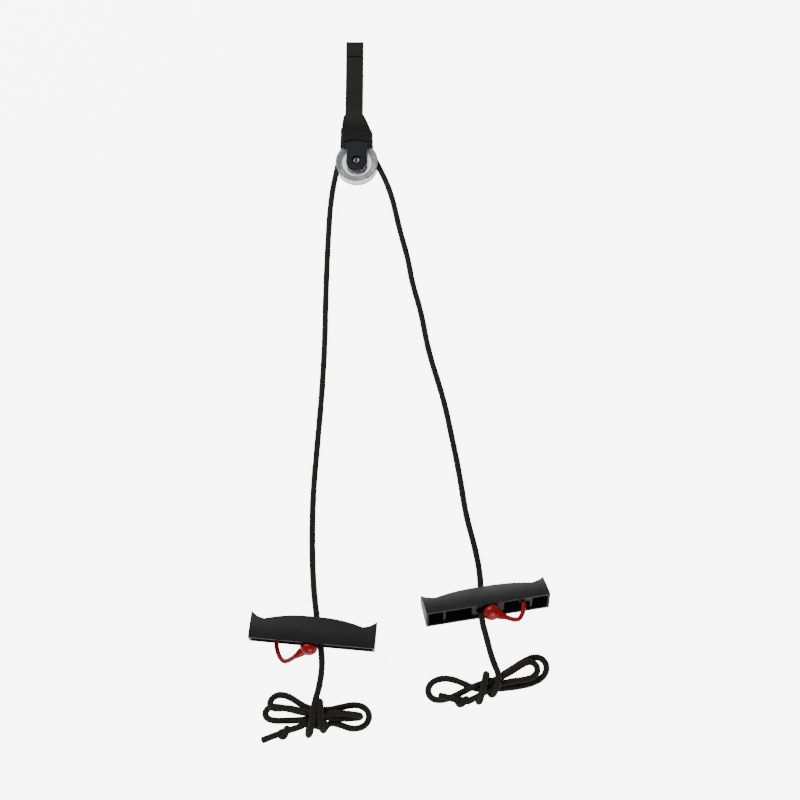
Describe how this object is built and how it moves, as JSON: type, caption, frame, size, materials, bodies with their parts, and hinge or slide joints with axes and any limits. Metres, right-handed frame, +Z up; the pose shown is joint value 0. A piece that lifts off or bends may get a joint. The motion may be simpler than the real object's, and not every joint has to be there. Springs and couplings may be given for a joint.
{
  "type": "cord and pulley reach set",
  "caption": "Webbing strap with a small sheave block and a braided cord carrying two moulded T-handles held by tethered wedge plugs.",
  "frame": {"origin": "on the surface the set lies on, under the middle of the strap, block and handles", "axes": "+Y along the set towards the strap's free end, +X to the right, +Z up from the surface"},
  "size_m": [0.2884, 0.7463, 0.0387],
  "materials": {
    "block_plastic": "moulded nylon, satin",
    "handle_plastic": "moulded, satin",
    "steel": "plated steel",
    "nylon": "translucent white nylon",
    "webbing": "woven polyester webbing",
    "cuff_fabric": "heavy woven sleeve",
    "thread": "sewing thread",
    "braid": "braided cord",
    "red_rubber": "soft moulded elastomer"
  },
  "bodies": {
    "block": {"front_cheek": "block_plastic", "back_cheek": "block_plastic", "axle_spacer": "steel", "axle_rivet": "steel", "rivet_washer": "steel", "strap_loop": "webbing", "strap_cuff": "cuff_fabric", "cord_over_sheave": "braid"},
    "sheave": {"sheave": "nylon"},
    "strap": {"strap_webbing": "webbing", "strap_hem": "webbing", "hem_stitching": "thread"},
    "left_line": {"left_cord": "braid", "left_hank": "braid", "left_cord_tail": "braid", "left_stopper_knot": "braid"},
    "left_handle": {"left_handle": "handle_plastic"},
    "left_plug": {"left_plug": "red_rubber", "left_tether": "red_rubber"},
    "right_line": {"right_cord": "braid", "right_hank": "braid", "right_cord_tail": "braid", "right_stopper_knot": "braid"},
    "right_handle": {"right_handle": "handle_plastic"},
    "right_plug": {"right_plug": "red_rubber", "right_tether": "red_rubber"}
  },
  "joints": [
    {"name": "left_travel", "type": "slide", "parent": "block", "child": "left_line", "axis": [0.0228, 0.9997, 0], "range_m": [-0.18, 0.18], "deforming": ["left_cord"]},
    {"name": "right_travel", "type": "slide", "parent": "block", "child": "right_line", "axis": [-0.2109, 0.9775, 0], "range_m": [-0.18, 0.18], "deforming": ["right_cord"]},
    {"name": "sheave_spin", "type": "hinge", "parent": "block", "child": "sheave", "pos_m": [-0.044, 0.186, 0.009], "axis": [0, 0, 1], "continuous": true},
    {"name": "strap_swing", "type": "hinge", "parent": "block", "child": "strap", "pos_m": [-0.0476, 0.2307, 0.009], "axis": [1, 0, 0], "range_deg": [-70, 70]},
    {"name": "left_handle_adjust", "type": "slide", "parent": "left_line", "child": "left_handle", "axis": [-0.1519, 0.9878, -0.0339], "range_m": [0, 0.03]},
    {"name": "left_plug_pull", "type": "slide", "parent": "left_handle", "child": "left_plug", "axis": [-0.0906, -0.9953, 0.0349], "range_m": [0, 0.01], "deforming": ["left_tether"]},
    {"name": "right_handle_adjust", "type": "slide", "parent": "right_line", "child": "right_handle", "axis": [0.0364, 0.8607, -0.5079], "range_m": [0, 0.012]},
    {"name": "right_plug_pull", "type": "slide", "parent": "right_handle", "child": "right_plug", "axis": [0.2019, -0.8438, 0.4973], "range_m": [0, 0.01], "deforming": ["right_tether"]}
  ],
  "couplings": [
    {"joint": "right_travel", "follows": "left_travel", "ratio": -1},
    {"joint": "sheave_spin", "follows": "left_travel", "rad_per_m": -52.083}
  ]
}
